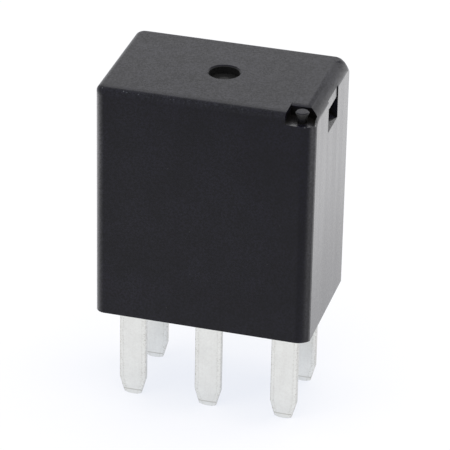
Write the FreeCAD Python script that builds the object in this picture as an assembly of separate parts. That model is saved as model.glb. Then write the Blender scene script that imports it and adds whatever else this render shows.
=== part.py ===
import FreeCAD, Part
import math
import os

# A small sealed plug-in relay with five blades, standing on its blade tips.
# Millimetres. X runs along the row of three blades, the front is -Y, up is +Z.
# The origin is the middle of the footprint at the level of the blade tips.

# Blades, the part of each terminal that plugs into a socket
blade_width = 2.8
blade_thickness = 0.8
blade_length = 11.1
blade_pitch = 8.1
row_from_face = 3.45
tip_length = 2.0
tip_width = 1.7
tip_bow = 0.15
tip_bevel = 0.75
tip_land = 0.4
coin_width = 0.4
coin_depth = 0.12

# Cover, a moulded cap open at its lower rim
cover_depth = 14.7
cover_height = 25.4
wall = 1.1
rim_wall = 0.8
rim_lead_in = 0.3
blade_room = 0.65
corner_radius = 1.0
inner_corner_radius = 0.5
top_fillet = 0.6

# The end with the vent is flat up to a crisp edge, where its larger rounding stops short
vent_end_radius = 1.7
vent_end_turn = 60

# Gate dimple in the middle of the top
dimple_radius = 1.55
dimple_depth = 0.9
dimple_bevel = 0.15
gate_stub_radius = 0.5
gate_stub_height = 0.15
dimple_skin = 0.8

# Vent pin in a pocket at the front right corner of the top
pocket_from_end = 3.05
pocket_from_front = 2.4
pocket_depth = 1.15
pocket_end_wall = 0.2
pocket_cut_corner = 0.85
pocket_lip_width = 0.35
pocket_lip_drop = 0.15
pocket_skin = 1.05
vent_from_end = 1.6
vent_from_front = 1.15
vent_radius = 0.68
vent_bevel = 0.1
vent_flare = 0.75
vent_stem_radius = 0.47

# Slots near the top of both ends, for a pulling tool
slot_width = 3.8
slot_height = 2.4
slot_below_top = 1.8
slot_depth = 1.3
slot_skin = 0.7
slot_floor_rise = 0.65
channel_depth = 0.1

# Base plate and the sealing resin under it
resin_set_back = 0.3
resin_thickness = 0.7
base_thickness = 2.0
base_fit = 0.05
slot_fit = 0.03
pad_half_width = 2.6
partition_height = 4.8
partition_thickness = 1.0
partition_half_width = 3.0
partition_room = 0.6

# Magnet: yoke, core, bobbin and winding
yoke_lift = 1.3
yoke_thickness = 1.2
yoke_bend = 0.3
yoke_foot_past_core = 2.9
pole_thickness = 1.0
pole_bevel = 0.15
bore_clearance = 0.1
flange_thickness = 0.9
flange_corner = 1.2
flange_past_tape = 0.05
flange_clearance = 0.1
barrel_wall = 0.6
winding_clearance = 0.05
tape_thickness = 0.1
tape_short = 0.55
lead_radius = 0.12
lead_bend = 0.5
lead_clearance = 0.02

# Widths of the magnet's pieces, as shares of the winding's radius
core_share = 0.455
core_stub_share = 0.323
pole_share = 0.646
yoke_share = 0.93
armature_share = 0.87
tongue_share = 0.445
leaf_share = 0.768
leaf_window_share = 0.495
yoke_rivet_share = 0.385
armature_rivet_share = 0.485

# Armature, its leaf spring and their rivets
armature_thickness = 1.2
armature_past_pole = 0.6
armature_corner = 0.9
tongue_length = 1.5
armature_air = 0.03
leaf_thickness = 0.2
leaf_bend = 1.3
leaf_window_drop = 1.5
leaf_window_length = 1.8
leaf_foot_length = 7.5
leaf_end_half_width = 1.9
leaf_past_contact = 1.5
leaf_taper_length = 3.2
rivet_radius = 0.6
rivet_head_radius = 1.0
rivet_head_height = 0.4
yoke_rivet_drop = 4.6
armature_rivet_past_core = 0.6

# Contacts and the strips that carry the fixed ones
contact_gap = 0.9
contact_inset = 0.6
contact_radius = 1.35
contact_edge = 0.3
contact_height = 0.5
contact_dome_radius = 5.0
contact_shank_radius = 0.7
fixed_contact_radius = 1.5
fixed_contact_height = 0.7
contact_air = 0.03
hole_fit = 0.02
strip_half_width = 1.6
strip_past_contact = 1.8
strip_bend = 0.3
strip_wall_room = 0.25
strip_tape_room = 0.15
head_room = 0.5

# Inner ends of the terminals
terminal_rise = 0.6
yoke_tab_length = 3.3
yoke_tab_gap = 0.8
post_width = 0.6
post_height = 4.4

# Cutting tools run this far past the faces that they open
overrun = 1.0

# Two places nearer than this are the same
tolerance = 0.001

# Angles in degrees
quarter_turn = 90
half_turn = 180
full_turn = 360

# Heights worked out from the sizes above
rim_z = blade_length
top_z = rim_z + cover_height
resin_z = rim_z + resin_set_back
base_z = resin_z + resin_thickness
floor_z = base_z + base_thickness
yoke_z = floor_z + yoke_lift
flange_z = yoke_z + yoke_thickness
ceiling_z = top_z - wall

# Places worked out from the sizes above
half_width = blade_pitch + blade_width / 2 + blade_room + wall
half_depth = cover_depth / 2
inner_half_width = half_width - wall
inner_half_depth = half_depth - wall
recess_half_width = half_width - rim_wall
recess_half_depth = half_depth - rim_wall
back_row_y = half_depth - row_from_face
front_row_y = -back_row_y
yoke_outer_x = -(blade_pitch + blade_width / 2 - blade_thickness)
yoke_inner_x = yoke_outer_x + yoke_thickness
nc_strip_y = -(inner_half_depth - strip_wall_room - blade_thickness / 2)
tape_radius = -nc_strip_y - blade_thickness / 2 - strip_tape_room
winding_radius = tape_radius - tape_thickness
flange_half = tape_radius + flange_past_tape
core_radius = winding_radius * core_share
core_stub_radius = winding_radius * core_stub_share
pole_radius = winding_radius * pole_share
yoke_half_width = winding_radius * yoke_share
armature_half_width = winding_radius * armature_share
tongue_half_width = winding_radius * tongue_share
leaf_half_width = winding_radius * leaf_share
leaf_window_half_width = winding_radius * leaf_window_share
yoke_rivet_spread = winding_radius * yoke_rivet_share
armature_rivet_spread = winding_radius * armature_rivet_share
core_x = yoke_inner_x + flange_clearance + flange_half
contact_x = blade_pitch - contact_inset

# Armature swing: the hinge line is the outer top edge of the yoke
hinge_x = yoke_outer_x
contact_arm = contact_x - hinge_x
swing = math.degrees(math.asin(contact_gap / contact_arm))
nc_strip_top = top_z - pocket_depth - pocket_skin - head_room
nc_face_z = nc_strip_top - blade_thickness - fixed_contact_height
stack = armature_air + armature_thickness + leaf_thickness + contact_height
fall = contact_gap + stack * math.cos(math.radians(swing))
dome_rise = contact_dome_radius * (1 - math.cos(math.radians(swing)))
pole_z = nc_face_z - contact_air - fall - dome_rise
armature_z = pole_z + armature_air
leaf_z = armature_z + armature_thickness
no_face_z = leaf_z - contact_height - contact_air
no_strip_top = no_face_z - fixed_contact_height
nc_contact_x = hinge_x + contact_arm * math.cos(math.radians(swing)) - stack * math.sin(math.radians(swing))
winding_top_z = pole_z - pole_thickness - flange_thickness
leaf_foot_z = pole_z - leaf_foot_length
armature_rivet_x = core_x + armature_rivet_past_core


def point(x, y, z):
    return FreeCAD.Vector(x, y, z)


def block(x0, x1, y0, y1, z0, z1):
    return Part.makeBox(x1 - x0, y1 - y0, z1 - z0, point(x0, y0, z0))


def cylinder(radius, height, x, y, z, axis=(0, 0, 1)):
    return Part.makeCylinder(radius, height, point(x, y, z), point(*axis))


def prism(corners, direction):
    """A straight prism on a flat polygon."""
    wire = Part.makePolygon(corners + [corners[0]])
    return Part.Face(wire).extrude(direction)


def rounded_slab(x0, x1, half_y, z0, z1, radius):
    """An upright slab with its four vertical corners rounded."""
    slab = block(x0, x1, -half_y, half_y, z0, z1)
    upright = [e for e in slab.Edges if abs(e.tangentAt(e.FirstParameter).z) > 0.99]
    return slab.makeFillet(radius, upright)


def turned(profile, x, y):
    """A solid of revolution about a vertical line, from (radius, height) pairs."""
    corners = [point(x + r, y, z) for r, z in profile]
    wire = Part.makePolygon(corners + [corners[0]])
    return Part.Face(wire).revolve(point(x, y, 0), point(0, 0, 1), full_turn)


def bent_strip(points, thickness, bend, width):
    """A sheet bent through the points with the given inner radius, as wide as the width vector."""
    half = thickness / 2
    radius = bend + half
    normal = FreeCAD.Vector(width).normalize()
    edges = []
    ends = []
    for side in (half, -half):
        along = (points[1] - points[0]).normalize()
        start = points[0] + normal.cross(along) * side
        ends.append(start)
        for before, corner, after in zip(points, points[1:], points[2:]):
            come = (corner - before).normalize()
            go = (after - corner).normalize()
            turn = come.getAngle(go)
            reach = radius * math.tan(turn / 2)
            inward = (go - come).normalize()
            centre = corner + inward * (radius / math.cos(turn / 2))
            arc_start = corner - come * reach + normal.cross(come) * side
            arc_end = corner + go * reach + normal.cross(go) * side
            arc_middle = centre - inward * (arc_start - centre).Length
            edges.append(Part.LineSegment(start, arc_start).toShape())
            edges.append(Part.Arc(arc_start, arc_middle, arc_end).toShape())
            start = arc_end
        along = (points[-1] - points[-2]).normalize()
        finish = points[-1] + normal.cross(along) * side
        edges.append(Part.LineSegment(start, finish).toShape())
        ends.append(finish)
    edges.append(Part.LineSegment(ends[0], ends[2]).toShape())
    edges.append(Part.LineSegment(ends[1], ends[3]).toShape())
    outline = Part.Wire(Part.__sortEdges__(edges))
    return Part.Face(outline).extrude(width)


def wire_run(points, radius, bend):
    """A round wire along straight runs joined by tangent arcs."""
    edges = []
    start = points[0]
    for before, corner, after in zip(points, points[1:], points[2:]):
        come = (corner - before).normalize()
        go = (after - corner).normalize()
        turn = come.getAngle(go)
        reach = bend * math.tan(turn / 2)
        inward = (go - come).normalize()
        middle = corner + inward * (bend / math.cos(turn / 2) - bend)
        arc_start = corner - come * reach
        arc_end = corner + go * reach
        edges.append(Part.LineSegment(start, arc_start).toShape())
        edges.append(Part.Arc(arc_start, middle, arc_end).toShape())
        start = arc_end
    edges.append(Part.LineSegment(start, points[-1]).toShape())
    path = Part.Wire(edges)
    along = (points[1] - points[0]).normalize()
    section = Part.Wire([Part.makeCircle(radius, points[0], along)])
    return path.makePipeShell([section], True, False)


def at_rest(shape):
    """Turns a piece of the armature from the closed position back to its rest."""
    turned_back = shape.copy()
    turned_back.rotate(point(hinge_x, 0, pole_z), point(0, 1, 0), -swing)
    return turned_back


def joined(shapes):
    return shapes[0].multiFuse(shapes[1:]).removeSplitter()


# Cover

def at_end(shape, side):
    """Leaves a shape made for the right end where it is, or turns it round to the left end."""
    if side < 0:
        shape.rotate(point(0, 0, 0), point(0, 0, 1), half_turn)
    return shape


def end_slot(side):
    """The cut of one pulling slot and the channel above it, side is 1 or -1. Its floor falls outwards."""
    half = slot_width / 2
    slot_top = top_z - slot_below_top
    floor = slot_top - slot_height
    outline = [
        point(half_width - slot_depth, -half, floor + slot_floor_rise),
        point(half_width, -half, floor),
        point(half_width + overrun, -half, floor),
        point(half_width + overrun, -half, slot_top),
        point(half_width - slot_depth, -half, slot_top),
    ]
    slot = prism(outline, point(0, slot_width, 0))
    channel = block(half_width - channel_depth, half_width + overrun, -half, half, slot_top, top_z + overrun)
    return at_end(slot.fuse(channel), side)


def slot_backing(side):
    """The thicker wall inside the cover that closes a pulling slot."""
    half = slot_width / 2 + slot_skin
    bottom = top_z - slot_below_top - slot_height - slot_skin
    inner_x = half_width - slot_depth - slot_skin
    return at_end(block(inner_x, half_width - wall / 2, -half, half, bottom, top_z - wall / 2), side)


def vent_pocket():
    """The pocket at the front right corner of the top, with a chamfered rear lip."""
    left = half_width - pocket_from_end
    right = half_width - pocket_end_wall
    rear = -half_depth + pocket_from_front
    front = -half_depth - overrun
    floor = top_z - pocket_depth
    corners = [
        point(left, front, floor),
        point(left, rear, floor),
        point(right - pocket_cut_corner, rear, floor),
        point(right, rear - pocket_cut_corner, floor),
        point(right, front, floor),
    ]
    pocket = prism(corners, point(0, 0, pocket_depth + overrun))
    lip = [
        point(left, rear, top_z - pocket_lip_drop),
        point(left, rear + pocket_lip_width, top_z),
        point(left, rear + pocket_lip_width, top_z + overrun),
        point(left, rear - pocket_lip_width, top_z + overrun),
        point(left, rear - pocket_lip_width, top_z - pocket_lip_drop),
    ]
    return pocket.fuse(prism(lip, point(right - pocket_cut_corner - left, 0, 0)))


def vent_backing():
    """The thicker corner inside the cover that closes the vent pocket."""
    left = half_width - pocket_from_end - pocket_skin
    rear = -half_depth + pocket_from_front + pocket_skin
    bottom = top_z - pocket_depth - pocket_skin
    return block(left, half_width - wall / 2, -half_depth + wall / 2, rear, bottom, top_z - wall / 2)


def vent_pin():
    """The vent nib: a slim stem that flares out to a flat head, level with the top."""
    x = half_width - vent_from_end
    y = -half_depth + vent_from_front
    floor = top_z - pocket_depth
    profile = [
        (0, floor - pocket_skin / 2),
        (vent_stem_radius, floor - pocket_skin / 2),
        (vent_stem_radius, top_z - vent_flare),
        (vent_radius, top_z - vent_bevel),
        (vent_radius - vent_bevel, top_z),
        (0, top_z),
    ]
    return turned(profile, x, y)


def gate_dimple():
    """The round recess in the top, with the broken gate stub left standing in it."""
    floor = top_z - dimple_depth
    profile = [
        (0, floor + gate_stub_height),
        (gate_stub_radius, floor + gate_stub_height),
        (gate_stub_radius, floor),
        (dimple_radius, floor),
        (dimple_radius, top_z - dimple_bevel),
        (dimple_radius + dimple_bevel, top_z),
        (dimple_radius + dimple_bevel, top_z + overrun),
        (0, top_z + overrun),
    ]
    return turned(profile, 0, 0)


def is_upright(box):
    return box.ZLength > cover_height - tolerance


def is_at_top(box):
    return box.ZMin > top_z - tolerance


def rounded(body, wanted, radius):
    """Rounds the wanted edges, with a larger radius where they reach the end with the vent."""
    radii = []
    for number, edge in enumerate(body.Edges, 1):
        if wanted(edge.BoundBox):
            ends = (edge.lastVertex(True), edge.firstVertex(True))
            at_vent_end = [vertex.X > half_width for vertex in ends]
            radii.append((number, *[vent_end_radius if near else radius for near in at_vent_end]))
    document = FreeCAD.newDocument()
    plain = document.addObject("Part::Feature", "plain")
    plain.Shape = body
    feature = document.addObject("Part::Fillet", "rounded")
    feature.Base = plain
    feature.Edges = radii
    document.recompute()
    result = feature.Shape.copy()
    FreeCAD.closeDocument(document.Name)
    return result


def cover():
    left_out = vent_end_radius * (1 - math.sin(math.radians(vent_end_turn)))
    body = block(-half_width, half_width + left_out, -half_depth, half_depth, rim_z, top_z)
    body = rounded(body, is_upright, corner_radius)
    body = rounded(body, is_at_top, top_fillet)
    below = rim_z - overrun
    past_end = block(half_width, half_width + overrun, -half_depth, half_depth, below, top_z)
    hollow = rounded_slab(
        -inner_half_width, inner_half_width, inner_half_depth, below, ceiling_z, inner_corner_radius
    )
    recess = rounded_slab(
        -recess_half_width, recess_half_width, recess_half_depth, below, floor_z, inner_corner_radius
    )
    lower = rectangle(recess_half_width + rim_lead_in, recess_half_depth + rim_lead_in, rim_z)
    upper = rectangle(recess_half_width, recess_half_depth, rim_z + rim_lead_in)
    lead_in = Part.makeLoft([lower, upper], True, True)
    shell = body.cut(past_end).cut(hollow).cut(recess).cut(lead_in)
    backing_z = top_z - dimple_depth - dimple_skin
    backing_height = top_z - wall / 2 - backing_z
    dimple_backing = cylinder(dimple_radius + dimple_skin, backing_height, 0, 0, backing_z)
    shell = shell.multiFuse([slot_backing(1), slot_backing(-1), vent_backing(), dimple_backing])
    shell = shell.cut(gate_dimple()).cut(vent_pocket()).cut(end_slot(1)).cut(end_slot(-1))
    return shell.fuse(vent_pin()).removeSplitter()


def rectangle(half_x, half_y, z):
    corners = [point(sx * half_x, sy * half_y, z) for sx, sy in ((-1, -1), (1, -1), (1, 1), (-1, 1))]
    return Part.makePolygon(corners + [corners[0]])


# Base and sealing resin

def blade_places():
    front = [(column * blade_pitch, front_row_y) for column in (-1, 0, 1)]
    back = [(column * blade_pitch, back_row_y) for column in (-1, 1)]
    return front + back


def blade_cuts(fit, z0, z1):
    half_x = blade_width / 2 + fit
    half_y = blade_thickness / 2 + fit
    return [block(x - half_x, x + half_x, y - half_y, y + half_y, z0, z1) for x, y in blade_places()]


def base():
    half_x = recess_half_width - base_fit
    half_y = recess_half_depth - base_fit
    plate = rounded_slab(-half_x, half_x, half_y, base_z, floor_z - base_fit, inner_corner_radius)
    pad_left = yoke_inner_x
    pad_right = core_x + yoke_foot_past_core
    pad = block(pad_left, pad_right, -pad_half_width, pad_half_width, base_z, yoke_z)
    partition_left = core_x + flange_half + partition_room
    partition = block(
        partition_left,
        partition_left + partition_thickness,
        -partition_half_width,
        partition_half_width,
        base_z,
        floor_z + partition_height,
    )
    body = joined([plate, pad, partition])
    for cut in blade_cuts(slot_fit, base_z - overrun, floor_z + overrun):
        body = body.cut(cut)
    return body


def sealing_resin():
    fill = rounded_slab(
        -recess_half_width, recess_half_width, recess_half_depth, resin_z, base_z, inner_corner_radius
    )
    for cut in blade_cuts(0, resin_z - overrun, base_z + overrun):
        fill = fill.cut(cut)
    return fill


# Terminals

def blade_section(x, y, z, width, thickness, coin):
    """One level of a blade: a flat bar with its four long edges coined."""
    half_x = width / 2
    half_y = thickness / 2
    flat_x = half_x - coin_width
    flat_y = half_y - coin
    corners = []
    for sx, sy in ((1, -1), (1, 1), (-1, 1), (-1, -1)):
        side = point(x + sx * half_x, y + sy * flat_y, z)
        face = point(x + sx * flat_x, y + sy * half_y, z)
        corners.extend([face, side] if sx * sy < 0 else [side, face])
    return Part.makePolygon(corners + [corners[0]])


def blade(x, y, top):
    """A blade from its tip at the origin's level up to the given height."""
    slope = (blade_width - tip_width) / tip_length
    levels = [
        (0, tip_width, tip_land, coin_depth / 2),
        (tip_bevel, tip_width + slope * tip_bevel, blade_thickness, coin_depth),
        (tip_length, blade_width, blade_thickness, coin_depth),
        (resin_z, blade_width, blade_thickness, coin_depth),
    ]
    wires = [blade_section(x, y, z, width, thickness, coin) for z, width, thickness, coin in levels]
    bar = Part.makeLoft(wires, True, True)
    front = y - blade_thickness
    left = point(x - tip_width / 2, front, tip_bow)
    right = point(x + tip_width / 2, front, tip_bow)
    bow = Part.Arc(left, point(x, front, 0), right).toShape()
    below = Part.makePolygon([
        right,
        point(x + blade_width, front, tip_bow),
        point(x + blade_width, front, -tip_length),
        point(x - blade_width, front, -tip_length),
        point(x - blade_width, front, tip_bow),
        left,
    ])
    past_tip = Part.Face(Part.Wire([bow] + below.Edges)).extrude(point(0, 2 * blade_thickness, 0))
    half_x = blade_width / 2
    half_y = blade_thickness / 2
    root = block(x - half_x, x + half_x, y - half_y, y + half_y, resin_z, top)
    return bar.cut(past_tip).fuse(root)


def terminal_30():
    """Common terminal: a tab bent round to lie flat on the outside of the yoke."""
    left = -blade_pitch - blade_width / 2
    tab_x = left + blade_thickness / 2
    tab_end_y = front_row_y + yoke_tab_length
    path = [
        point(-blade_pitch + blade_width / 2, front_row_y, floor_z),
        point(tab_x, front_row_y, floor_z),
        point(tab_x, tab_end_y, floor_z),
    ]
    tab_top = leaf_foot_z - yoke_tab_gap
    tab = bent_strip(path, blade_thickness, strip_bend, point(0, 0, tab_top - floor_z))
    clear = block(yoke_outer_x, 0, -half_depth, 0, floor_z + terminal_rise, tab_top + overrun)
    return joined([blade(-blade_pitch, front_row_y, floor_z), tab.cut(clear)])


def coil_terminal(side):
    """Coil terminal with a post for the winding's end, side is -1 or 1 along X."""
    x = side * blade_pitch
    left = x - blade_width / 2
    front = back_row_y - blade_thickness / 2
    rise = floor_z + terminal_rise
    corners = [
        point(left, front, floor_z),
        point(left, front, floor_z + post_height),
        point(left + post_width, front, floor_z + post_height),
        point(left + post_width, front, rise),
        point(left + blade_width, front, rise),
        point(left + blade_width, front, floor_z),
    ]
    post = prism(corners, point(0, blade_thickness, 0))
    return joined([blade(x, back_row_y, floor_z), post])


def strip_outline(blade_x):
    """Front view of a contact strip that leans over from its blade to the contacts."""
    half = blade_width / 2
    low = flange_z
    high = (flange_z + no_strip_top) / 2
    outline = [
        (blade_x - half, base_z),
        (blade_x - half, low),
        (contact_x - strip_half_width, high),
        (contact_x - strip_half_width, top_z),
        (contact_x + strip_half_width, top_z),
        (contact_x + strip_half_width, high),
        (blade_x + half, low),
        (blade_x + half, base_z),
    ]
    return prism([point(x, -half_depth, z) for x, z in outline], point(0, cover_depth, 0))


def contact_drill(x, level):
    """The drill for a fixed contact's shank through a strip at the given height."""
    return cylinder(contact_shank_radius + hole_fit, 2 * blade_thickness, x, 0, level - blade_thickness)


def terminal_87():
    """Normally open terminal: straight up and bent back under the moving contact."""
    level = no_strip_top - blade_thickness / 2
    path = [
        point(-half_width, front_row_y, floor_z),
        point(-half_width, front_row_y, level),
        point(-half_width, strip_past_contact, level),
    ]
    sheet = bent_strip(path, blade_thickness, strip_bend, point(2 * half_width, 0, 0))
    outline = strip_outline(blade_pitch)
    strip = sheet.common(outline)
    return joined([blade(blade_pitch, front_row_y, floor_z), strip]).cut(contact_drill(contact_x, level))


def terminal_87a():
    """Normally closed terminal: stepped forward past the coil, then over the moving contact."""
    level = nc_strip_top - blade_thickness / 2
    step = floor_z + blade_thickness / 2 + strip_bend
    path = [
        point(-half_width, front_row_y, floor_z - blade_thickness / 2),
        point(-half_width, front_row_y, step),
        point(-half_width, nc_strip_y, step),
        point(-half_width, nc_strip_y, level),
        point(-half_width, strip_past_contact, level),
    ]
    sheet = bent_strip(path, blade_thickness, strip_bend, point(2 * half_width, 0, 0))
    outline = strip_outline(0)
    strip = sheet.common(outline)
    low = floor_z - blade_thickness / 2
    return joined([blade(0, front_row_y, low), strip]).cut(contact_drill(nc_contact_x, level))


# Magnet

def yoke():
    middle = yoke_thickness / 2
    path = [
        point(core_x + yoke_foot_past_core, -yoke_half_width, yoke_z + middle),
        point(yoke_outer_x + middle, -yoke_half_width, yoke_z + middle),
        point(yoke_outer_x + middle, -yoke_half_width, pole_z),
    ]
    sheet = bent_strip(path, yoke_thickness, yoke_bend, point(0, 2 * yoke_half_width, 0))
    sheet = sheet.cut(cylinder(core_stub_radius, 2 * yoke_thickness, core_x, 0, yoke_z - middle))
    return sheet.cut(Part.makeCompound(yoke_rivet_drills()))


def core():
    profile = [
        (0, yoke_z),
        (core_stub_radius, yoke_z),
        (core_stub_radius, flange_z),
        (core_radius, flange_z),
        (core_radius, pole_z - pole_thickness),
        (pole_radius, pole_z - pole_thickness),
        (pole_radius, pole_z - pole_bevel),
        (pole_radius - pole_bevel, pole_z),
        (0, pole_z),
    ]
    return turned(profile, core_x, 0)


def bobbin():
    left = core_x - flange_half
    right = core_x + flange_half
    flanges = [
        rounded_slab(left, right, flange_half, z, z + flange_thickness, flange_corner)
        for z in (flange_z, winding_top_z)
    ]
    bore = core_radius + bore_clearance
    barrel = cylinder(bore + barrel_wall, winding_top_z - flange_z, core_x, 0, flange_z)
    hole = cylinder(bore, pole_z - flange_z, core_x, 0, flange_z - overrun)
    clear = prism(
        [
            point(left, -flange_half, flange_z),
            point(left + yoke_bend, -flange_half, flange_z),
            point(left, -flange_half, flange_z + yoke_bend),
        ],
        point(0, 2 * flange_half, 0),
    )
    return joined(flanges + [barrel]).cut(hole).cut(clear)


def sleeve(inner, outer, z0, z1):
    ring = cylinder(outer, z1 - z0, core_x, 0, z0)
    return ring.cut(cylinder(inner, z1 - z0, core_x, 0, z0))


def coil_winding():
    inner = core_radius + bore_clearance + barrel_wall + winding_clearance
    low = flange_z + flange_thickness + winding_clearance
    return sleeve(inner, winding_radius, low, winding_top_z - winding_clearance)


def coil_tape():
    low = flange_z + flange_thickness + tape_short
    return sleeve(winding_radius, tape_radius, low, winding_top_z - winding_clearance)


def coil_lead(side):
    """One end of the winding, led to the back of its terminal post, side is -1 or 1."""
    z = flange_z + flange_thickness + lead_radius + winding_clearance
    off_winding = winding_radius + lead_radius + lead_clearance
    off_post = lead_radius + lead_clearance
    post_left = side * blade_pitch - blade_width / 2
    post_back = back_row_y + blade_thickness / 2
    if side > 0:
        points = [
            point(core_x + off_winding, 0, z),
            point(core_x + off_winding, post_back + off_post, z),
            point(post_left + post_width, post_back + off_post, z),
        ]
    else:
        points = [
            point(core_x, off_winding, z),
            point(post_left - off_post, off_winding, z),
            point(post_left - off_post, back_row_y - blade_thickness / 2, z),
        ]
    return wire_run(points, lead_radius, lead_bend)


# Armature and contacts

def armature():
    end = core_x + pole_radius + armature_past_pole
    shoulder = hinge_x + tongue_length
    half = armature_half_width
    corners = [
        point(hinge_x, -tongue_half_width, armature_z),
        point(shoulder, -tongue_half_width, armature_z),
        point(shoulder, -half, armature_z),
        point(end - armature_corner, -half, armature_z),
        point(end, -half + armature_corner, armature_z),
        point(end, half - armature_corner, armature_z),
        point(end - armature_corner, half, armature_z),
        point(shoulder, half, armature_z),
        point(shoulder, tongue_half_width, armature_z),
        point(hinge_x, tongue_half_width, armature_z),
    ]
    plate = prism(corners, point(0, 0, armature_thickness))
    return at_rest(plate.cut(Part.makeCompound(armature_drills())))


def rivet(x, y, z, direction, length):
    """A rivet with its head's underside at the given place, the shank running back from it."""
    bevel = rivet_head_height / 2
    shape = turned(
        [
            (0, -length),
            (rivet_radius, -length),
            (rivet_radius, 0),
            (rivet_head_radius, 0),
            (rivet_head_radius, rivet_head_height - bevel),
            (rivet_head_radius - bevel, rivet_head_height),
            (0, rivet_head_height),
        ],
        0,
        0,
    )
    if direction < 0:
        shape.rotate(point(0, 0, 0), point(0, 1, 0), -quarter_turn)
    shape.translate(point(x, y, z))
    return shape


def yoke_rivets():
    x = yoke_outer_x - leaf_thickness
    z = pole_z - yoke_rivet_drop
    length = leaf_thickness + yoke_thickness
    return Part.makeCompound([rivet(x, y, z, -1, length) for y in (-yoke_rivet_spread, yoke_rivet_spread)])


def armature_rivets():
    z = leaf_z + leaf_thickness
    length = leaf_thickness + armature_thickness
    spread = (-armature_rivet_spread, armature_rivet_spread)
    return at_rest(Part.makeCompound([rivet(armature_rivet_x, y, z, 1, length) for y in spread]))


def contact_spring():
    """One stamped leaf: riveted to the yoke, bent over the hinge, along the armature to the contact."""
    foot_x = yoke_outer_x - leaf_thickness / 2
    middle_z = leaf_z + leaf_thickness / 2
    tip = at_rest(Part.Vertex(contact_x + leaf_past_contact, -leaf_half_width, middle_z)).Point
    back = at_rest(Part.Vertex(hinge_x, -leaf_half_width, middle_z)).Point
    rise = math.tan(math.radians(swing))
    corner = point(foot_x, -leaf_half_width, back.z - (back.x - foot_x) * rise)
    path = [point(foot_x, -leaf_half_width, leaf_foot_z), corner, tip]
    leaf = bent_strip(path, leaf_thickness, leaf_bend - leaf_thickness / 2, point(0, 2 * leaf_half_width, 0))
    window = block(
        hinge_x - leaf_bend, hinge_x + leaf_window_length, -leaf_window_half_width, leaf_window_half_width,
        pole_z - leaf_window_drop, top_z
    )
    leaf = leaf.cut(window)
    taper_end = contact_x - leaf_past_contact
    taper_start = taper_end - leaf_taper_length
    outer = 2 * leaf_half_width
    for side in (-1, 1):
        trim = [
            point(taper_start, side * leaf_half_width, no_strip_top),
            point(taper_end, side * leaf_end_half_width, no_strip_top),
            point(half_width, side * leaf_end_half_width, no_strip_top),
            point(half_width, side * outer, no_strip_top),
            point(taper_start, side * outer, no_strip_top),
        ]
        leaf = leaf.cut(prism(trim, point(0, 0, top_z - no_strip_top)))
    return leaf.cut(Part.makeCompound(yoke_rivet_drills() + [at_rest(drill) for drill in armature_drills()]))


def yoke_rivet_drills():
    """Drills for the two rivets through the spring's foot and the yoke."""
    reach = leaf_thickness + yoke_thickness + 2 * rivet_head_height
    x = yoke_inner_x + rivet_head_height - reach
    z = pole_z - yoke_rivet_drop
    spread = (-yoke_rivet_spread, yoke_rivet_spread)
    return [cylinder(rivet_radius + hole_fit, reach, x, y, z, (1, 0, 0)) for y in spread]


def armature_drills():
    """Drills for the armature's two rivets and the moving contact, in the closed position."""
    reach = 2 * armature_thickness
    spread = (-armature_rivet_spread, armature_rivet_spread)
    drills = [cylinder(rivet_radius + hole_fit, reach, armature_rivet_x, y, pole_z) for y in spread]
    return drills + [cylinder(contact_shank_radius + hole_fit, reach, contact_x, 0, pole_z)]


def dome(x, base_level, direction):
    """A contact head standing on the given level, with a domed working face."""
    height = contact_height
    head = cylinder(contact_radius, height, x, 0, base_level if direction > 0 else base_level - height)
    centre_z = base_level + direction * (height - contact_dome_radius)
    ball = Part.makeSphere(contact_dome_radius, point(x, 0, centre_z), point(0, 1, 0))
    return head.common(ball)


def moving_contact():
    top = leaf_z + leaf_thickness
    shank = cylinder(contact_shank_radius, leaf_thickness, contact_x, 0, leaf_z)
    return at_rest(joined([dome(contact_x, top, 1), shank, dome(contact_x, leaf_z, -1)]))


def fixed_contact(x, face, direction):
    """A flat contact with its shank through the strip, direction is from the face to the strip."""
    bevel = contact_edge / 2
    head_end = face + direction * fixed_contact_height
    profile = [
        (0, face),
        (fixed_contact_radius - bevel, face),
        (fixed_contact_radius, face + direction * bevel),
        (fixed_contact_radius, head_end),
        (contact_shank_radius, head_end),
        (contact_shank_radius, head_end + direction * blade_thickness),
        (0, head_end + direction * blade_thickness),
    ]
    return turned(profile, x, 0)


def check_solid(name, shape):
    """Says what a piece is made of, and stops if it isn't sound."""
    if not shape.isValid() or not shape.Solids:
        raise ValueError(name + " is not a sound solid")
    print(f"{name:18s} solids {len(shape.Solids)}  volume {shape.Volume:9.3f}")


def main():
    parts = {
        "cover": cover(),
        "base": base(),
        "sealing_resin": sealing_resin(),
        "terminal_30": terminal_30(),
        "terminal_85": coil_terminal(1),
        "terminal_86": coil_terminal(-1),
        "terminal_87": terminal_87(),
        "terminal_87a": terminal_87a(),
        "yoke": yoke(),
        "core": core(),
        "bobbin": bobbin(),
        "coil_winding": coil_winding(),
        "coil_tape": coil_tape(),
        "coil_lead_85": coil_lead(1),
        "coil_lead_86": coil_lead(-1),
        "armature": armature(),
        "armature_rivets": armature_rivets(),
        "yoke_rivets": yoke_rivets(),
        "contact_spring": contact_spring(),
        "moving_contact": moving_contact(),
        "no_contact": fixed_contact(contact_x, no_face_z, -1),
        "nc_contact": fixed_contact(nc_contact_x, nc_face_z, 1),
    }
    os.makedirs("parts", exist_ok=True)
    for name, shape in parts.items():
        check_solid(name, shape)
        shape.exportStep(f"parts/{name}.step")
    print(f"swing {swing:.3f} degrees, hinge at x {hinge_x:.3f} z {pole_z:.3f}")


main()
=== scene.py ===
import bmesh
import bpy
import math
from mathutils import Matrix, Vector


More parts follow.
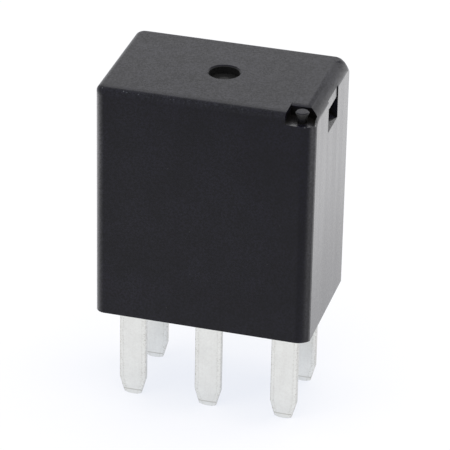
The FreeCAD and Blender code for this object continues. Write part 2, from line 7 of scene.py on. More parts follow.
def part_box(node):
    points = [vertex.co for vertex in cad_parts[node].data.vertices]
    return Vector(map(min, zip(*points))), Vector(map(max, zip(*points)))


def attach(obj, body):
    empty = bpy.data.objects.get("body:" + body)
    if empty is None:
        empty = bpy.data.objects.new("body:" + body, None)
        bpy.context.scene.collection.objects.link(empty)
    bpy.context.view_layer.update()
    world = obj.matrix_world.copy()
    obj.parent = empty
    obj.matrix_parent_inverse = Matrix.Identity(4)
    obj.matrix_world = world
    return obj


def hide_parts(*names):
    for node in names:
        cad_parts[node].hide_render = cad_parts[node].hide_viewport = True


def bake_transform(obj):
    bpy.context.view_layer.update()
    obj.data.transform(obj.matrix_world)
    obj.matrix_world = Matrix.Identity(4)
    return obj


# The looks of a small sealed plug-in relay, built on its CAD frame. Metres.
# The origin is the middle of the footprint at the blade tips, front is -Y, up is +Z.

bl_info = {
    "name": "Plug-in relay",
    "version": (1, 0, 0),
    "blender": (4, 5, 0),
    "location": "3D View > Sidebar > Relay",
    "description": "Builds the cover, blades, magnet, coil and contacts of a sealed relay with their finishes",
    "category": "Object",
}

MM = 0.001

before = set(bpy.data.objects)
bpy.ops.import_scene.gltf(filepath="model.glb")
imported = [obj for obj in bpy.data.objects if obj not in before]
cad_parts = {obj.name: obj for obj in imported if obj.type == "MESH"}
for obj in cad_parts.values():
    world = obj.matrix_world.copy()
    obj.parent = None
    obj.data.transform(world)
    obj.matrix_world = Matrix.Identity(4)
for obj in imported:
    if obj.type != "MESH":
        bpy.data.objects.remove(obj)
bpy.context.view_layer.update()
COVER_LOW, COVER_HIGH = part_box("cover")
WINDING_LOW, WINDING_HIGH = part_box("coil_winding")
RESIN_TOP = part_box("sealing_resin")[1].z

# Points this close are one, faces this flat to each other are one, sharper edges are rounded
MERGE_DISTANCE = 1e-7
FLAT_ANGLE = math.radians(0.5)
SHARP_ANGLE = math.radians(35.0)
LATHE_STEPS = 48
WIRE_SIDES = 8

# Radius of the small edges of the pieces that have no setting for it
BASE_EDGE = 0.06 * MM
RESIN_EDGE = 0.03 * MM
BOBBIN_EDGE = 0.05 * MM
TAPE_EDGE = 0.02 * MM
LEAD_EDGE = 0.01 * MM
LEAF_EDGE = 0.02 * MM
RIVET_EDGE = 0.03 * MM
CONTACT_EDGE = 0.03 * MM

# The dimple in the middle of the top, and the vent pin's axis and the radius of its head, as in the CAD
DIMPLE_RADIUS = 1.55 * MM
PIN_AXIS = Vector((9.65, -6.2, 0.0)) * MM
PIN_RADIUS = 0.68 * MM

# Painted highlights at burrs on the sill of the vent pocket, as the photograph shows them: where, and how
# bright
BURR_HIGHLIGHTS = (
    (Vector((11.19, -6.69, 35.37)) * MM, 1.0),
    (Vector((10.2, -7.33, 35.37)) * MM, 0.4),
)
HIGHLIGHT_CORE = 0.03 * MM
HIGHLIGHT_RADIUS = 0.14 * MM

# The rounded corner that is evened out: its size, how often, and the largest face that counts as curved
CORNER_REACH = 2.0 * MM
CORNER_PASSES = 12
CORNER_FACE = MM * MM

# The blades' outline in millimetres, as in the CAD
BLADE_PITCH = 8.1
BLADE_HALF_WIDTH = 1.4
TIP_HALF_WIDTH = 0.85
TIP_LENGTH = 2.0

# The band of a noise's values that a pattern uses: nearly all of them, or only the middle
BROAD = (0.3, 0.7)
MIDDLE = (0.35, 0.65)

# How many fine lines wide a streak is
STREAK_WIDTH = 5.0

# How far apart the nodes stand in the node editor
NODE_STEP = 190

# How strongly the cover's pressed skin shows: from which turn away on, by place, and by pattern
SKIN_FACING = 0.13
SKIN_AT_EDGES = 0.3
SKIN_ON_TOP = (0.14, 0.29)
SKIN_BEHIND_FRONT = 0.35
# Skin at the foot, where its fading paints shade low on the sides
SKIN_AT_FOOT = 0.58
SKIN_IN_DIMPLE = 0.05
SKIN_BY_CLOUD = (1.2, 1.4)
SKIN_BY_GRAIN = (0.7, 1.3)
SKIN_BY_LINE = (0.91, 1.02)

# The share of open sky at which a recess gets its full painted shade, and at which a face counts as open
OPEN_SKY = (0.45, 0.85)

# The scuffed stretch of the front top edge, whose pale specks also paint its highlight line: how far it
# reaches, and what is left beyond it
SCUFF_AND_HIGHLIGHT_LENGTH = 8 * MM
SCUFF_AND_HIGHLIGHT_REST = 0.15

# The stage: the floor and its fine tooth per metre, the white, and the lamps as name, place, width and watts
FLOOR_RADIUS = 3.0
FLOOR_STEPS = 64
FLOOR_TOOTH = 900.0
WHITE = (1.0, 1.0, 1.0, 1.0)
LAMPS = (
    ("overhead_softbox", (0.02, -0.04, 0.40), 0.40, 1.1),
    ("right_softbox", (0.35, 0.18, 0.20), 0.30, 0.45),
    ("left_softbox", (-0.30, -0.30, 0.25), 0.30, 0.35),
)
LAMP_AIM = Vector((0, 0, 0.02))
SENSOR_WIDTH = 36.0
NEAR_CLIP = 0.01


# Colours

def grey(value, warmth=0.0):
    """A colour of that lightness, warmer above zero and cooler below."""
    return (value * (1 + warmth), value, value * (1 - warmth), 1.0)


def toned(colour, factor):
    """The colour made lighter or darker."""
    return (*(factor * part for part in colour[:3]), 1.0)


# Node trees

def fill(tree, socket, value):
    """Gives a socket its value, or links it to the socket that feeds it."""
    if isinstance(value, bpy.types.NodeSocket):
        tree.links.new(value, socket)
    else:
        socket.default_value = value


def add(tree, kind, inputs=None, **settings):
    """A node in the tree, with its settings and its inputs, each a value or the socket that feeds it."""
    node = tree.nodes.new(kind)
    node.location = (len(tree.nodes) * NODE_STEP, 0)
    for key, value in settings.items():
        setattr(node, key, value)
    for key, value in (inputs or {}).items():
        fill(tree, node.inputs[key], value)
    return node


def reckon(tree, operation, *values):
    """The result of a Math node."""
    return add(tree, "ShaderNodeMath", dict(enumerate(values)), operation=operation).outputs[0]


def product(tree, *factors):
    """The factors multiplied with each other."""
    result = factors[0]
    for factor in factors[1:]:
        result = reckon(tree, "MULTIPLY", result, factor)
    return result


def scaled(tree, vector, factor):
    """The vector times a number."""
    return add(tree, "ShaderNodeVectorMath", {"Vector": vector, "Scale": factor}, operation="SCALE").outputs[0]


def stretched(tree, vector, factors):
    """The vector times a factor for each axis."""
    return add(tree, "ShaderNodeVectorMath", {0: vector, 1: factors}, operation="MULTIPLY").outputs[0]


def away_from(tree, vector, place):
    """How far a vector lies from a place."""
    return add(tree, "ShaderNodeVectorMath", {0: vector, 1: place}, operation="DISTANCE").outputs["Value"]


def axes_of(tree, vector):
    """The three coordinates of a vector."""
    return add(tree, "ShaderNodeSeparateXYZ", {0: vector}).outputs


def spread(tree, value, low, high, start=0.0, end=1.0, way="SMOOTHSTEP"):
    """Maps low..high onto start..end, smoothly where nothing else is said."""
    places = {"Value": value, "From Min": low, "From Max": high, "To Min": start, "To Max": end}
    return add(tree, "ShaderNodeMapRange", places, interpolation_type=way).outputs[0]


def blend_colours(tree, factor, first, second):
    """A colour that goes from the first to the second with the factor."""
    node = add(tree, "ShaderNodeMix", data_type="RGBA")
    for index, value in ((0, factor), (6, first), (7, second)):
        fill(tree, node.inputs[index], value)
    return node.outputs[2]


def layered(tree, colour, *layers):
    """A colour with others laid over it in turn, each given after its mask."""
    for mask, over in layers:
        colour = blend_colours(tree, mask, colour, over)
    return colour


def noise(tree, vector, scale, detail=2.0, roughness=0.5):
    """The value of a Noise texture."""
    places = {"Vector": vector, "Scale": scale, "Detail": detail, "Roughness": roughness}
    return add(tree, "ShaderNodeTexNoise", places).outputs[0]


def grains(tree, vector, size, detail=2.0, roughness=0.5, widened=1.0):
    """The value of a noise whose grains have that size, which may be a socket, or so many times that size."""
    place = scaled(tree, vector, reckon(tree, "DIVIDE", 1.0 / widened, size))
    return noise(tree, place, 1.0, detail, roughness)


def shader_group(name, takes, gives):
    """An empty group: what it takes beside the place, each with its default, and the values that it gives.

    Returns the tree, the sockets that it is given, and the place in millimetres.
    """
    tree = bpy.data.node_groups.new(name, "ShaderNodeTree")
    for label, value in {"Vector": (0, 0, 0), **takes}.items():
        kind = "NodeSocketVector" if isinstance(value, tuple) else "NodeSocketFloat"
        socket = tree.interface.new_socket(label, in_out="INPUT", socket_type=kind)
        socket.default_value = value
    for label in gives:
        tree.interface.new_socket(label, in_out="OUTPUT", socket_type="NodeSocketFloat")
    given = add(tree, "NodeGroupInput").outputs
    return tree, given, scaled(tree, given["Vector"], 1 / MM)


def grain_group():
    """Fine moulded or rolled grain: Size is one grain in millimetres, Cloud one soft patch."""
    tree, given, place = shader_group("Fine grain", {"Size": 0.1, "Cloud": 5.0}, ("Height", "Shade"))
    fine = grains(tree, place, given["Size"], 3.0, 0.6)
    soft = grains(tree, place, given["Cloud"], 3.0)
    add(tree, "NodeGroupOutput", {"Height": fine, "Shade": soft})
    return tree


def worn_edge_group():
    """Where a box-like moulding is rubbed: a mask along its outer edges, broken up by noise."""
    sizes = {"Half Width": 10.0, "Half Depth": 10.0, "Top": 10.0, "Band": 0.5, "Patch": 1.0}
    tree, given, place = shader_group("Worn edges", sizes, ("Edge", "Worn"))
    x, y, z = axes_of(tree, place)
    side = reckon(tree, "SUBTRACT", given["Half Width"], reckon(tree, "ABSOLUTE", x))
    front = reckon(tree, "SUBTRACT", given["Half Depth"], reckon(tree, "ABSOLUTE", y))
    top = reckon(tree, "SUBTRACT", given["Top"], z)
    nearer = reckon(tree, "MINIMUM", side, front)
    further = reckon(tree, "MAXIMUM", side, front)
    second = reckon(tree, "MAXIMUM", nearer, reckon(tree, "MINIMUM", further, top))
    edge = spread(tree, second, 0.0, given["Band"], 1.0, 0.0)
    patches = grains(tree, place, given["Patch"], 4.0, 0.65)
    worn = product(tree, edge, spread(tree, patches, 0.5, 0.75))
    add(tree, "NodeGroupOutput", {"Edge": edge, "Worn": worn})
    return tree


def speck_group():
    """Small specks of dust or pits: one in each cell of Spacing millimetres, kept by chance with the Share."""
    sizes = {"Spacing": 1.0, "Radius": 0.08, "Share": 0.3}
    tree, given, place = shader_group("Specks", sizes, ("Mask",))
    cell = scaled(tree, place, reckon(tree, "DIVIDE", 1.0, given["Spacing"]))
    spots = add(tree, "ShaderNodeTexVoronoi", {"Vector": cell, "Scale": 1.0}, feature="F1")
    size = reckon(tree, "DIVIDE", given["Radius"], given["Spacing"])
    near = spread(tree, spots.outputs["Distance"], product(tree, size, 0.5), size, 1.0, 0.0)
    chance = add(tree, "ShaderNodeSeparateColor", {0: spots.outputs["Color"]}).outputs[0]
    chosen = reckon(tree, "LESS_THAN", chance, given["Share"])
    add(tree, "NodeGroupOutput", {"Mask": product(tree, near, chosen)})
    return tree


def drawn_line_group():
    """Lines left by rolling, drawing or flow: Line is a fine one's width in millimetres, a streak is wider.

    Stretch is 1 across the lines and near 0 along them.
    """
    sizes = {"Line": 0.05, "Stretch": (1, 1, 0.05)}
    tree, given, place = shader_group("Drawn lines", sizes, ("Height", "Streak"))
    drawn = stretched(tree, place, given["Stretch"])
    fine = grains(tree, drawn, given["Line"])
    wide = grains(tree, drawn, given["Line"], widened=STREAK_WIDTH)
    add(tree, "NodeGroupOutput", {"Height": fine, "Streak": wide})
    return tree


GROUPS = {
    "grain": grain_group(),
    "edges": worn_edge_group(),
    "specks": speck_group(),
    "lines": drawn_line_group(),
}


def place_group(tree, name, vector, inputs):
    """One of the shared groups, fed with object coordinates and its own values."""
    return add(tree, "ShaderNodeGroup", {"Vector": vector, **inputs}, node_tree=GROUPS[name]).outputs


def empty_tree(owner):
    """The emptied node tree of a material or world."""
    owner.use_nodes = True
    owner.node_tree.nodes.clear()
    return owner.node_tree


def new_material(name, constants):
    """A material with one Principled shader: its constants are set on the shader's own sockets."""
    material = bpy.data.materials.new(name)
    tree = empty_tree(material)
    shader = add(tree, "ShaderNodeBsdfPrincipled", constants)
    add(tree, "ShaderNodeOutputMaterial", {"Surface": shader.outputs[0]})
    vector = add(tree, "ShaderNodeTexCoord").outputs["Object"]
    return material, tree, shader, vector


def feed(tree, shader, colour, roughness, height, strength, distance):
    """Links the shader's colour and roughness, and its normal to a bump that is so many millimetres high."""
    bump = add(tree, "ShaderNodeBump", {"Height": height, "Strength": strength, "Distance": distance * MM})
    for name, source in (("Base Color", colour), ("Roughness", roughness), ("Normal", bump.outputs[0])):
        tree.links.new(source, shader.inputs[name])


# Finishes

def cover_plastic(settings):
    """Black moulded plastic with fine grain, rubbed and scuffed along its edges, with painted shade in its
    recesses and painted light on its vent pin, burrs and front edge.
    """
    constants = {
        "IOR": settings.gloss_index,
        "Coat Roughness": settings.coat_roughness,
        "Coat IOR": settings.coat_index,
    }
    material, tree, shader, vector = new_material("Black moulded plastic", constants)
    grain = place_group(tree, "grain", vector, {"Size": 0.2, "Cloud": 4.0})
    edges = place_group(tree, "edges", vector, {
        "Half Width": COVER_HIGH.x / MM,
        "Half Depth": COVER_HIGH.y / MM,
        "Top": COVER_HIGH.z / MM,
        "Band": settings.worn_band / MM,
        "Patch": 0.22,
    })
    outside_painted_shade = free_of_painted_shade(tree, settings.painted_shade_reach)
    dimple = in_dimple(tree, vector)
    worn = marked_plastic(tree, vector, settings, grain, edges)
    # Painted shade: in recesses the colour turns plain near-black and the skin's gloss goes, so they render
    # darker
    painted_shade_colour = blend_colours(tree, outside_painted_shade, grey(0.005, 0.1), worn)
    colour = layered(
        tree,
        painted_shade_colour,
        (dimple, grey(0.011)),
        # Painted light on the vent pin's side
        (painted_pin_light(tree, vector), grey(0.034)),
        # Painted highlights at two burrs on the pocket sill
        (burr_highlights(tree, vector), grey(0.32)),
    )
    rough = spread(tree, grain["Height"], *BROAD, settings.roughness - 0.05, settings.roughness + 0.05)
    worn_smooth = reckon(tree, "ADD", rough, product(tree, edges["Edge"], -0.05))
    feed(tree, shader, colour, worn_smooth, grain["Height"], strength=0.7, distance=0.016)
    pattern = skin_pattern(tree, vector, settings, grain, edges)
    by_place = skin_by_place(tree, vector, grain["Height"], dimple)
    # Coat Weight: the skin pattern, cut back in recesses as painted shade, and by place
    tree.links.new(product(tree, pattern, outside_painted_shade, by_place), shader.inputs["Coat Weight"])
    return material


def marked_plastic(tree, vector, settings, grain, edges):
    """The colour of the cover's open faces: mottled, rubbed at the edges, scuffed where handled with specks
    that also paint a highlight, with dust.
    """
    dust = place_group(tree, "specks", vector, {"Spacing": 1.3, "Radius": 0.06, "Share": 0.3})["Mask"]
    scuffs_and_highlight = place_group(tree, "specks", vector, {"Spacing": 0.32, "Radius": 0.08, "Share": 0.45})["Mask"]
    plain = (*settings.colour, 1.0)
    clouded = blend_colours(tree, spread(tree, grain["Shade"], *MIDDLE), plain, toned(plain, 1.5))
    grained = blend_colours(tree, spread(tree, grain["Height"], *MIDDLE), toned(plain, 0.5), clouded)
    return layered(
        tree,
        grained,
        (product(tree, edges["Worn"], settings.wear), grey(0.06, -0.15)),
        # Pale scuff specks: partly wear, partly a painted highlight line along the front top edge
        (product(tree, scuffs_and_highlight, edges["Edge"], scuffed_highlit_corner(tree, vector)), grey(0.16, -0.08)),
        (product(tree, dust, 0.35), grey(0.1, 0.05)),
    )


def skin_pattern(tree, vector, settings, grain, edges):
    """How strongly the pressed skin shows as the surface turns away, with clouds, grain and flow lines."""
    facing = add(tree, "ShaderNodeLayerWeight", {"Blend": 0.5}).outputs["Facing"]
    turned = spread(tree, facing, SKIN_FACING, settings.grazing_full, way="LINEAR")
    polished = reckon(tree, "ADD", turned, product(tree, edges["Edge"], SKIN_AT_EDGES))
    cloudy = spread(tree, grain["Shade"], *MIDDLE, *SKIN_BY_CLOUD)
    grainy = spread(tree, grain["Height"], *BROAD, *SKIN_BY_GRAIN)
    full = reckon(tree, "MINIMUM", product(tree, polished, cloudy, grainy), 1.0)
    lines = place_group(tree, "lines", vector, {"Line": 0.28, "Stretch": (1.0, 1.0, 0.03)})
    return product(tree, full, spread(tree, lines["Streak"], *MIDDLE, *SKIN_BY_LINE))


def skin_by_place(tree, vector, grain, dimple):
    """How strongly the skin shows by place: broken by grain on top, weaker at its front, and weaker to the foot
    as painted shade on the lower sides.
    """
    _, y, z = axes_of(tree, vector)
    front_roll = spread(tree, y, COVER_LOW.y + 0.6 * MM, COVER_LOW.y + 1.3 * MM, SKIN_BEHIND_FRONT, 1.0)
    coarse = product(tree, spread(tree, grain, *MIDDLE, *SKIN_ON_TOP), front_roll)
    top_face = spread(tree, z, COVER_HIGH.z - 1.1 * MM, COVER_HIGH.z - 0.1 * MM, 1.0, coarse)
    # Painted shade: the skin's gloss fades towards the foot, darkening the lower sides
    foot = spread(tree, z, COVER_LOW.z, COVER_HIGH.z - 6 * MM, SKIN_AT_FOOT, 1.0)
    matt_gate = spread(tree, dimple, 0.0, 1.0, 1.0, SKIN_IN_DIMPLE, way="LINEAR")
    return product(tree, top_face, foot, matt_gate)


def from_axis(tree, vector, axis):
    """How far a vector lies from an upright line."""
    return away_from(tree, stretched(tree, vector, (1.0, 1.0, 0.0)), axis)


def in_dimple(tree, vector):
    """1 within the gate dimple, 0 outside it."""
    off_centre = from_axis(tree, vector, (0.0, 0.0, 0.0))
    return spread(tree, off_centre, DIMPLE_RADIUS, DIMPLE_RADIUS + 0.1 * MM, 1.0, 0.0)


def painted_pin_light(tree, vector):
    """Painted light on the vent pin's side: palest under its head, fading down into the pocket."""
    off_axis = from_axis(tree, vector, PIN_AXIS)
    on_pin = spread(tree, off_axis, PIN_RADIUS + 0.05 * MM, PIN_RADIUS + 0.12 * MM, 1.0, 0.0)
    z = axes_of(tree, vector)[2]
    below_head = spread(tree, z, COVER_HIGH.z - 0.12 * MM, COVER_HIGH.z - 0.04 * MM, 1.0, 0.0)
    above_floor = spread(tree, z, COVER_HIGH.z - 1.0 * MM, COVER_HIGH.z - 0.3 * MM)
    return product(tree, on_pin, below_head, above_floor)


def burr_highlights(tree, vector):
    """Painted highlights: two pale spots at the burrs on the sill where the vent pocket opens through the
    front.
    """
    spots = 0.0
    for place, brightness in BURR_HIGHLIGHTS:
        spot = spread(tree, away_from(tree, vector, place), HIGHLIGHT_CORE, HIGHLIGHT_RADIUS, brightness, 0.0)
        spots = reckon(tree, "MAXIMUM", spots, spot)
    return spots


def scuffed_highlit_corner(tree, vector):
    """1 near the front left corner of the top, where fingers and tools touch and a painted highlight runs along
    the edge, fading along it.
    """
    x, _, z = axes_of(tree, vector)
    along = spread(tree, x, COVER_LOW.x, COVER_LOW.x + SCUFF_AND_HIGHLIGHT_LENGTH, 1.0, SCUFF_AND_HIGHLIGHT_REST)
    return product(tree, along, spread(tree, z, COVER_HIGH.z - 2 * MM, COVER_HIGH.z - 1 * MM))


def free_of_painted_shade(tree, reach):
    """Painted shade for recesses from ambient occlusion: 1 on the open faces, falling to 0 deep in a pocket,
    slot or dimple no wider than the reach.
    """
    shade = add(tree, "ShaderNodeAmbientOcclusion", {"Distance": reach}, samples=8)
    return spread(tree, shade.outputs["AO"], *OPEN_SKY)


def plain_plastic(name, colour, roughness):
    """A moulded plastic for an inner part, with grain, soft clouds and dust."""
    material, tree, shader, vector = new_material(name, {"IOR": 1.5})
    grain = place_group(tree, "grain", vector, {"Size": 0.12, "Cloud": 3.0})
    dust = place_group(tree, "specks", vector, {"Spacing": 1.1, "Radius": 0.05, "Share": 0.25})["Mask"]
    clouded = blend_colours(tree, grain["Shade"], colour, toned(colour, 0.82))
    dusty = blend_colours(tree, product(tree, dust, 0.4), clouded, grey(0.2, 0.1))
    rough = spread(tree, grain["Height"], *BROAD, roughness - 0.06, roughness + 0.06)
    feed(tree, shader, dusty, rough, grain["Height"], strength=0.4, distance=0.01)
    return material


def cured_resin():
    """Cast epoxy: nearly black, smooth but for a slow ripple and tiny bubbles."""
    material, tree, shader, vector = new_material("Cured sealing resin", {"IOR": 1.55})
    ripple = place_group(tree, "grain", vector, {"Size": 1.6, "Cloud": 6.0})
    bubbles = place_group(tree, "specks", vector, {"Spacing": 0.9, "Radius": 0.1, "Share": 0.35})["Mask"]
    cast = blend_colours(tree, ripple["Shade"], grey(0.012, -0.1), grey(0.03, -0.05))
    bubbled = blend_colours(tree, bubbles, cast, grey(0.07, 0.05))
    rough = spread(tree, ripple["Shade"], *BROAD, 0.16, 0.32)
    relief = reckon(tree, "SUBTRACT", ripple["Height"], product(tree, bubbles, 0.6))
    feed(tree, shader, bubbled, rough, relief, strength=0.5, distance=0.08)
    return material


def tinned_blade(settings):
    """Bright tin over brass: faint lines along the strip, soft wipes, pits, and painted shade as dark lines at
    its edges.
    """
    material, tree, shader, vector = new_material("Tin-plated brass", {"Metallic": 1.0, "IOR": 1.5})
    lines = place_group(tree, "lines", vector, {"Line": 0.05, "Stretch": (1.0, 1.0, 0.05)})
    cloud = place_group(tree, "grain", vector, {"Size": 0.22, "Cloud": 1.5})
    grit = place_group(tree, "grain", vector, {"Size": 0.17, "Cloud": 3.0})["Height"]
    inset, level = blade_inset(tree, vector)
    on_blade = spread(tree, level, RESIN_TOP / MM, RESIN_TOP / MM + 0.3, 1.0, 0.0)
    near_edge = product(tree, spread(tree, inset, 0.1, 0.75, 1.0, 0.0), on_blade)
    outline = painted_edge_shade(tree, settings, inset, level, cloud["Height"], on_blade)
    low_pits = product(tree, spread(tree, grit, 0.62, 0.7), spread(tree, near_edge, 0.0, 1.0, 0.25, 1.0))
    edge_pits = product(tree, spread(tree, grit, 0.55, 0.66), near_edge)
    pits = reckon(tree, "MAXIMUM", low_pits, edge_pits)
    plain = (*settings.tin, 1.0)
    colour = layered(
        tree,
        plain,
        (spread(tree, cloud["Shade"], *BROAD), toned(plain, 0.95)),
        (spread(tree, cloud["Height"], 0.4, 0.7, 0.0, 0.25), grey(0.66, 0.02)),
        (spread(tree, lines["Streak"], 0.45, 0.75, 0.0, 0.12), grey(0.6, 0.03)),
        # Painted shade along the rim, the coined crease and across the tip
        (outline, (0.38, 0.37, 0.33, 1.0)),
        (product(tree, pits, 0.5), (0.34, 0.33, 0.28, 1.0)),
    )
    rough = spread(tree, cloud["Height"], *BROAD, settings.tin_roughness - 0.06, settings.tin_roughness + 0.08)
    relief = reckon(tree, "SUBTRACT", lines["Height"], product(tree, pits, 0.8))
    feed(tree, shader, colour, rough, relief, strength=0.15, distance=0.01)
    return material


def painted_edge_shade(tree, settings, inset, level, breaks, on_blade):
    """Painted shade: the dark lines of a blade, broken ones along its rim and its coined crease, and one across
    its tip.
    """
    crease = reckon(tree, "SUBTRACT", inset, settings.coin_width / MM)
    creased = spread(tree, reckon(tree, "ABSOLUTE", crease), 0.0, 0.12, 1.0, 0.0)
    rim = spread(tree, inset, 0.02, 0.14, 1.0, 0.0)
    broken = product(tree, spread(tree, breaks, 0.3, 0.65, 0.35, 1.0), on_blade)
    along = product(tree, reckon(tree, "MAXIMUM", rim, product(tree, creased, 0.35)), broken)
    tip_arc = reckon(tree, "ABSOLUTE", reckon(tree, "SUBTRACT", level, tip_edge(tree, inset)))
    across = spread(tree, tip_arc, 0.02, 0.12, 1.0, 0.0)
    return reckon(tree, "MAXIMUM", product(tree, along, 0.45), product(tree, across, 0.6))


def blade_inset(tree, vector):
    """How far a point of a blade is in from its long edge, and its height, both in millimetres."""
    x, _, z = axes_of(tree, scaled(tree, vector, 1 / MM))
    column = reckon(tree, "ROUND", reckon(tree, "DIVIDE", x, BLADE_PITCH))
    off_centre = reckon(tree, "ABSOLUTE", reckon(tree, "SUBTRACT", x, product(tree, column, BLADE_PITCH)))
    half_width = spread(tree, z, 0.0, TIP_LENGTH, TIP_HALF_WIDTH, BLADE_HALF_WIDTH, way="LINEAR")
    return reckon(tree, "SUBTRACT", half_width, off_centre), z


def tip_edge(tree, inset):
    """The height in millimetres of the upper edge of the ground bevel at the tip, lower where it runs out."""
    return spread(tree, inset, 0.0, 0.2, 0.5, 0.62)


def worked_metal(name, colour, roughness, line, stretch):
    """A rolled, drawn or turned metal with lines along its way and a soft uneven tarnish."""
    material, tree, shader, vector = new_material(name, {"Metallic": 1.0, "IOR": 1.5})
    lines = place_group(tree, "lines", vector, {"Line": line, "Stretch": stretch})
    cloud = place_group(tree, "grain", vector, {"Size": 0.15, "Cloud": 2.2})
    dull = toned(colour, 0.7)
    tarnished = layered(
        tree,
        colour,
        (spread(tree, cloud["Shade"], 0.35, 0.75), dull),
        (spread(tree, lines["Streak"], 0.5, 0.8, 0.0, 0.4), dull),
    )
    rough = spread(tree, cloud["Height"], *BROAD, roughness - 0.08, roughness + 0.08)
    feed(tree, shader, tarnished, rough, lines["Height"], strength=0.3, distance=0.01)
    return material


def enamelled_wire():
    """Copper under a clear red-brown enamel, a little darker from turn to turn."""
    constants = {"Metallic": 0.85, "IOR": 1.5, "Coat Weight": 0.8, "Coat Roughness": 0.12}
    material, tree, shader, vector = new_material("Enamelled copper wire", constants)
    lines = place_group(tree, "lines", vector, {"Line": 0.2, "Stretch": (0.08, 0.08, 1.0)})
    cloud = place_group(tree, "grain", vector, {"Size": 0.3, "Cloud": 2.5})
    copper = layered(
        tree,
        (0.62, 0.2, 0.09, 1.0),
        (lines["Streak"], (0.38, 0.1, 0.045, 1.0)),
        (product(tree, cloud["Shade"], 0.4), (0.3, 0.09, 0.05, 1.0)),
    )
    rough = spread(tree, cloud["Height"], *BROAD, 0.25, 0.38)
    feed(tree, shader, copper, rough, lines["Height"], strength=0.2, distance=0.01)
    return material


def coil_film():
    """Yellow polyester film tape, glossy, with faint wrinkles round the coil and the wire dim beneath."""
    constants = {"IOR": 1.6, "Coat Weight": 0.5, "Coat Roughness": 0.1}
    material, tree, shader, vector = new_material("Yellow film tape", constants)
    wrinkles = place_group(tree, "lines", vector, {"Line": 0.5, "Stretch": (0.1, 0.1, 1.0)})
    cloud = place_group(tree, "grain", vector, {"Size": 0.5, "Cloud": 3.0})
    film = layered(
        tree,
        (0.68, 0.43, 0.03, 1.0),
        (spread(tree, wrinkles["Streak"], *BROAD), (0.55, 0.3, 0.03, 1.0)),
        (product(tree, cloud["Shade"], 0.35), (0.45, 0.24, 0.04, 1.0)),
    )
    rough = spread(tree, cloud["Height"], *BROAD, 0.22, 0.36)
    feed(tree, shader, film, rough, wrinkles["Height"], strength=0.35, distance=0.03)
    return material


def floor_finish(settings):
    """A pale floor. It shows its white in camera, mirror and glass rays, and keeps the object's shadow."""
    material = bpy.data.materials.new("Pale studio floor")
    tree = empty_tree(material)
    tooth = noise(tree, add(tree, "ShaderNodeTexCoord").outputs["Object"], FLOOR_TOOTH, 3.0)
    lit_part = (*settings.floor_lit, 1.0)
    paper = blend_colours(tree, tooth, grey(0.80), grey(0.78))
    tinted = blend_colours(tree, tooth, lit_part, toned(lit_part, 0.98))
    lit = add(tree, "ShaderNodeBsdfDiffuse", {"Color": paper})
    shown = add(tree, "ShaderNodeBsdfDiffuse", {"Color": tinted})
    glow = add(tree, "ShaderNodeEmission", {"Color": (*settings.floor_glow, 1.0), "Strength": 1.0})
    white = add(tree, "ShaderNodeAddShader", {0: shown.outputs[0], 1: glow.outputs[0]})
    mixed = add(tree, "ShaderNodeMixShader", {0: seen_rays(tree), 1: lit.outputs[0], 2: white.outputs[0]})
    add(tree, "ShaderNodeOutputMaterial", {"Surface": mixed.outputs[0]})
    return material


def seen_rays(tree):
    """1 for camera, mirror and glass rays, else 0."""
    path = add(tree, "ShaderNodeLightPath").outputs
    either = reckon(tree, "MAXIMUM", path["Is Camera Ray"], path["Is Glossy Ray"])
    return reckon(tree, "MAXIMUM", either, path["Is Transmission Ray"])


# Meshes

def keep(name, mesh, material):
    """A new object at the origin with this mesh and material."""
    mesh.materials.clear()
    mesh.materials.append(material)
    obj = bpy.data.objects.new(name, mesh)
    bpy.context.scene.collection.objects.link(obj)
    return obj


def settled(obj):
    """Applies the object's modifiers to its mesh."""
    evaluated = obj.evaluated_get(bpy.context.evaluated_depsgraph_get())
    mesh = bpy.data.meshes.new_from_object(evaluated)
    obj.modifiers.clear()
    obj.data = mesh
    mesh.name = obj.name
    return obj


def merged_mesh(node):
    """A node's mesh as closed plain faces, without its loose triangles."""
    work = bmesh.new()
    work.from_mesh(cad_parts[node].data)
    bmesh.ops.remove_doubles(work, verts=work.verts, dist=MERGE_DISTANCE)
    bmesh.ops.dissolve_limit(work, angle_limit=FLAT_ANGLE, verts=work.verts, edges=work.edges)
    work.verts.index_update()
    corners = [v.co.copy() for v in work.verts]
    faces = [[v.index for v in f.verts] for f in work.faces]
    work.free()
    mesh = bpy.data.meshes.new(node)
    mesh.from_pydata(corners, [], faces)
    return mesh


def first_of_pair(node):
    """The one of a node's two like pieces that stands in front, and the step from it to the other."""
    mesh = merged_mesh(node)
    work = bmesh.new()
    work.from_mesh(mesh)
    rear = [v for v in work.verts if v.co.y > 0]
    front = [v for v in work.verts if v.co.y <= 0]
    step = sum((v.co for v in rear), Vector()) / len(rear) - sum((v.co for v in front), Vector()) / len(front)
    bmesh.ops.delete(work, geom=rear, context="VERTS")
    work.to_mesh(mesh)
    work.free()
    return mesh, step


def softened(obj, width, segments=2):
    """Rounds the sharp edges of a closed mesh and smooths what lies between them."""
    obj.data.shade_smooth()
    obj.data.set_sharp_from_angle(angle=SHARP_ANGLE)
    bevel = obj.modifiers.new("Rounded edges", "BEVEL")
    bevel.limit_method = "ANGLE"
    bevel.angle_limit = SHARP_ANGLE
    bevel.width = width
    bevel.segments = segments
    bevel.use_clamp_overlap = True
    weighted = obj.modifiers.new("Even normals", "WEIGHTED_NORMAL")
    weighted.keep_sharp = True
    return settled(obj)


def finished_node(node, name, material, width, body="housing"):
    """A piece that stands for a CAD node, with softened edges and its own finish."""
    obj = softened(keep(name, merged_mesh(node), material), width)
    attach(obj, body)
    dress(node)


def dress(node):
    """Hides the CAD node that the piece stands for."""
    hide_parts(node)


